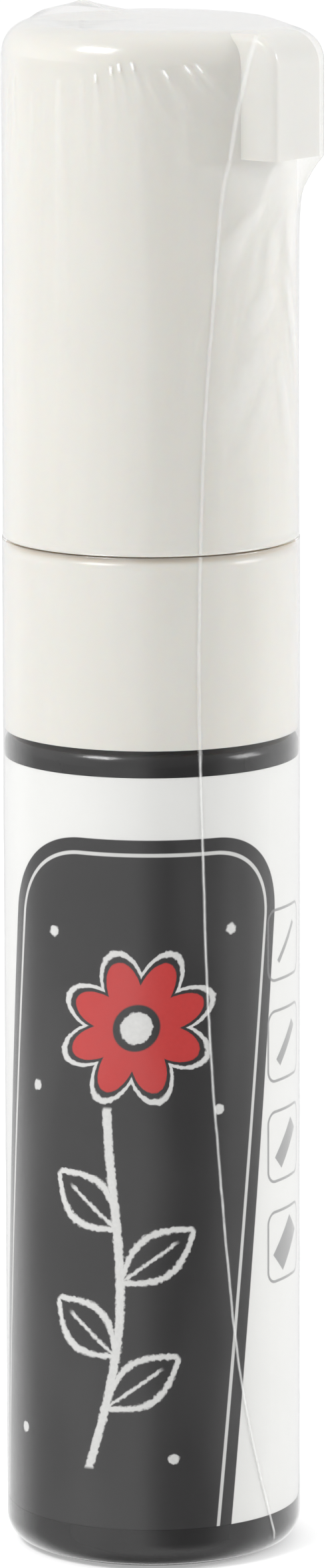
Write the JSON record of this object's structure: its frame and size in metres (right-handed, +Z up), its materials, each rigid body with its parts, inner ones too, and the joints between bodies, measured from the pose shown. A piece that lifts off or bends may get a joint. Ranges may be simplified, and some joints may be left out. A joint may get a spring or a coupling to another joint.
{
  "type": "liquid chalk marker",
  "caption": "Broad-tip liquid chalk marker in shrink film: black ink tank with label, white collar, pull-off cap with block clip, felt nib that presses in to open a spring valve.",
  "frame": {"origin": "centre of the flat base that the marker stands on", "axes": "+Z up the marker's axis towards the cap, +X towards the clip on the cap"},
  "size_m": [0.0307, 0.0274, 0.1426],
  "materials": {
    "white_plastic": "satin moulded plastic, ivory white",
    "black_plastic": "satin moulded plastic, black",
    "label_print": "printed plastic label, white with charcoal",
    "clear_film": "clear shrink film",
    "mouthpiece_white": "white moulded plastic",
    "natural_plastic": "natural moulded plastic",
    "inner_cup_plastic": "soft natural plastic",
    "rubber_seal": "black rubber",
    "spring_steel": "bright spring wire",
    "ball_steel": "polished steel",
    "nib_felt": "pressed polyester felt"
  },
  "bodies": {
    "barrel_unit": {"barrel": "black_plastic", "label_sleeve": "label_print", "front_collar": "white_plastic", "neck_gasket": "rubber_seal", "mouthpiece": "mouthpiece_white", "valve_housing": "natural_plastic", "spring_retainer": "natural_plastic", "valve_spring": "spring_steel", "barrel_film": "clear_film"},
    "cap_unit": {"cap_shell": "white_plastic", "cap_inner_cup": "inner_cup_plastic", "cap_film": "clear_film"},
    "nib_unit": {"nib": "nib_felt", "nib_pusher": "natural_plastic", "valve_stem": "natural_plastic", "valve_seal": "rubber_seal"},
    "ball_a": {"mixing_ball_a": "ball_steel"},
    "ball_b": {"mixing_ball_b": "ball_steel"}
  },
  "joints": [
    {"name": "cap_pull", "type": "slide", "parent": "barrel_unit", "child": "cap_unit", "axis": [0, 0, 1], "range_m": [0, 0.045]},
    {"name": "nib_press", "type": "slide", "parent": "barrel_unit", "child": "nib_unit", "axis": [0, 0, -1], "range_m": [0, 0.0025], "stiffness_N_per_m": 800, "springref_m": -0.0015, "deforming": ["valve_spring"]},
    {"name": "ball_a_rattle", "type": "slide", "parent": "barrel_unit", "child": "ball_a", "axis": [0, 0, 1], "range_m": [0, 0.06]},
    {"name": "ball_b_rattle", "type": "slide", "parent": "barrel_unit", "child": "ball_b", "axis": [0, 0, 1], "range_m": [0, 0.06]}
  ]
}
